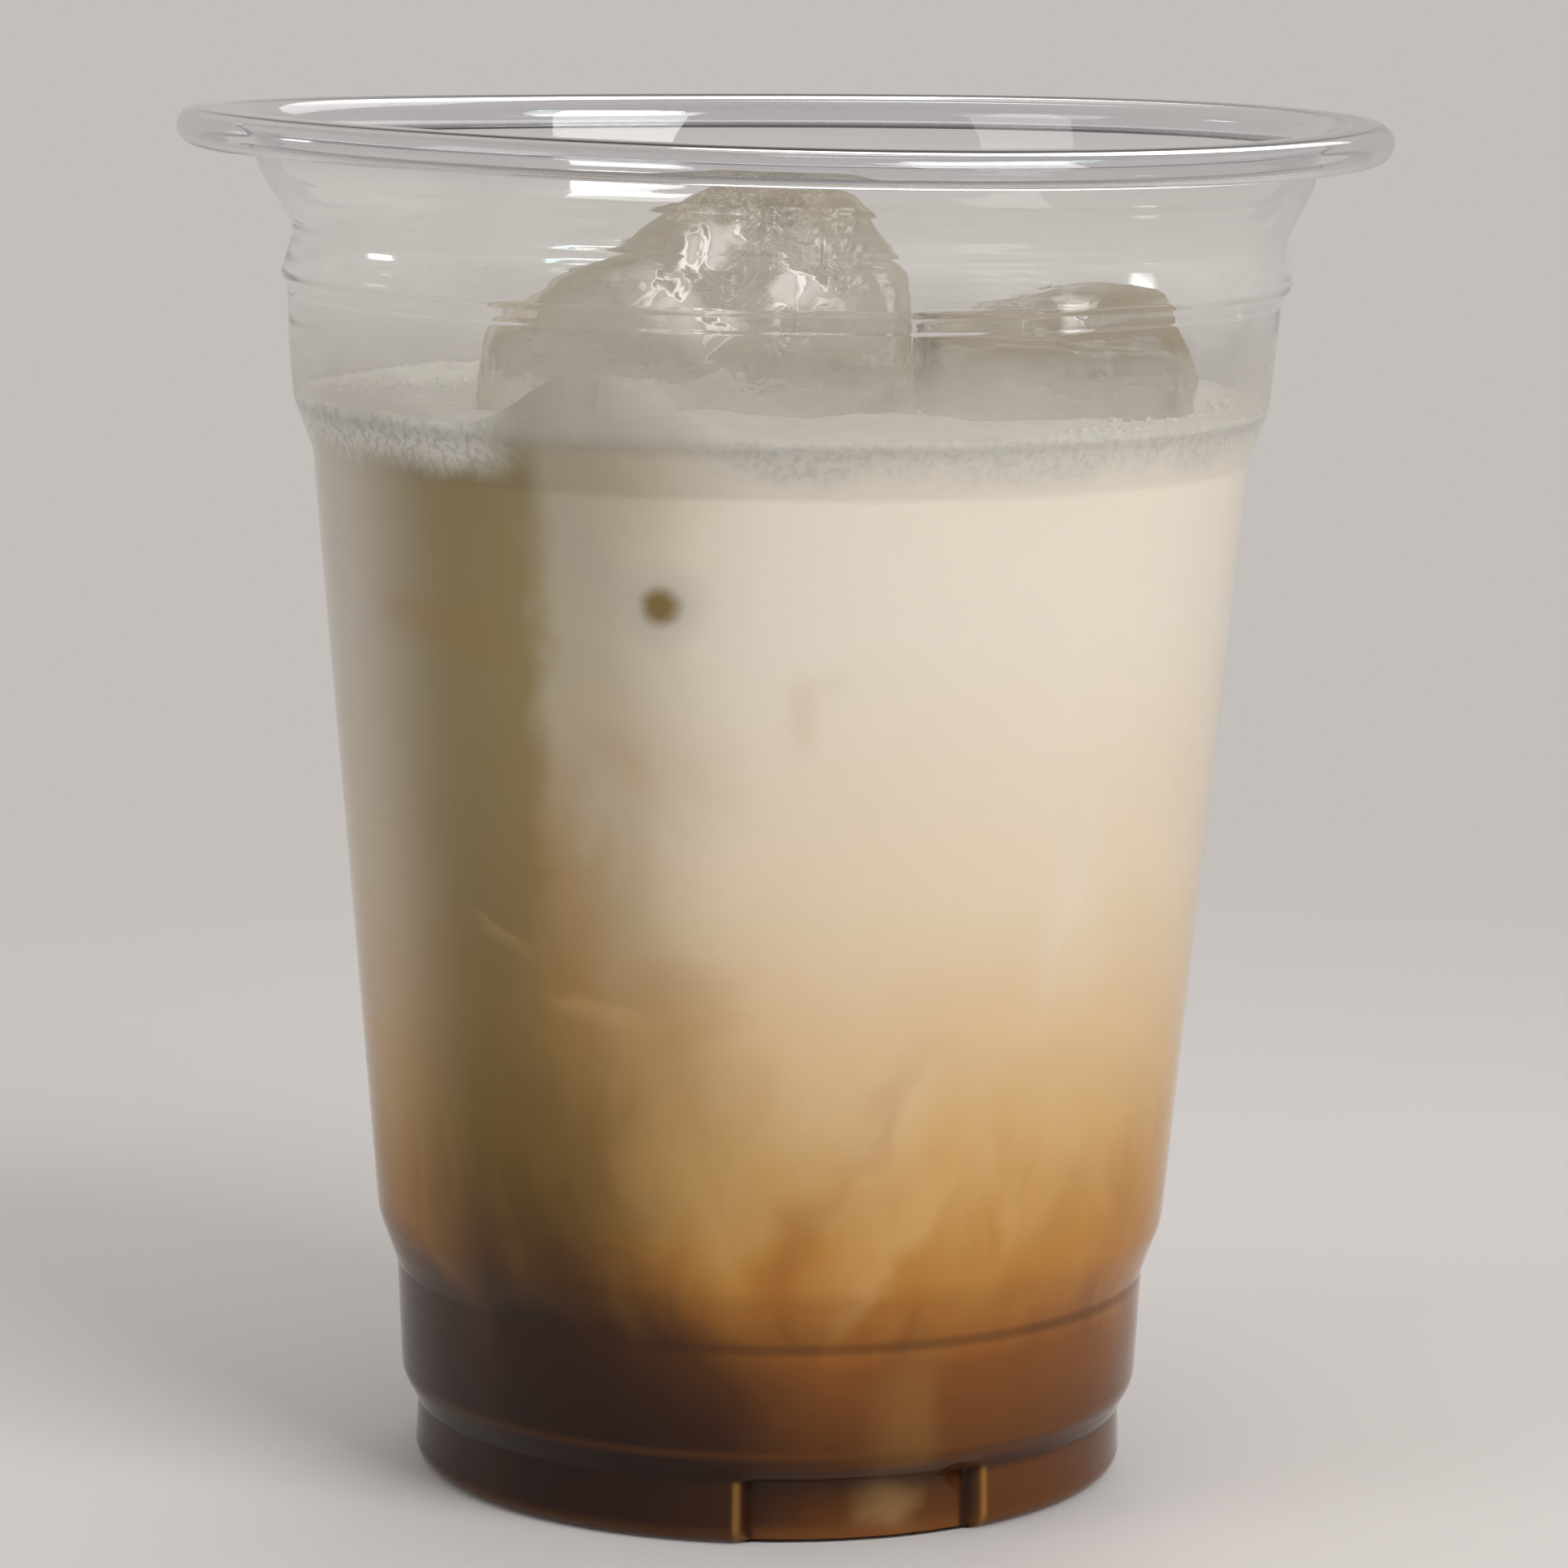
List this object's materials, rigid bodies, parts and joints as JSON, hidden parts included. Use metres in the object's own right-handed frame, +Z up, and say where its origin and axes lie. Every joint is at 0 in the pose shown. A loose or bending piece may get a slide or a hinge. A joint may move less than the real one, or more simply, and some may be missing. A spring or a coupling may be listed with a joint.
{
  "type": "iced spanish latte in a clear plastic cup",
  "caption": "Iced spanish latte in a clear formed plastic cup with a rolled lip: coffee, milky blend, milk and froth in layers, with clear ice standing out of the drink.",
  "frame": {"origin": "middle of the plane that the cup stands on", "axes": "+Z up along the cup's axis, -Y towards the front, where a foot recess and the highest ice are seen"},
  "size_m": [0.098, 0.098, 0.111],
  "materials": {
    "clear_plastic": "clear colourless formed sheet, glossy",
    "coffee": "dark brown drink, wet and smooth",
    "coffee_milk_blend": "tan drink, wet and smooth",
    "milk": "cream-coloured drink, wet and smooth",
    "froth": "fine pale froth",
    "ice": "clear ice, slightly clouded, wet"
  },
  "bodies": {
    "root": {"cup": "clear_plastic", "coffee": "coffee", "coffee_milk_blend": "coffee_milk_blend", "milk": "milk", "froth": "froth", "ice_large": "ice", "ice_small": "ice"}
  },
  "joints": []
}
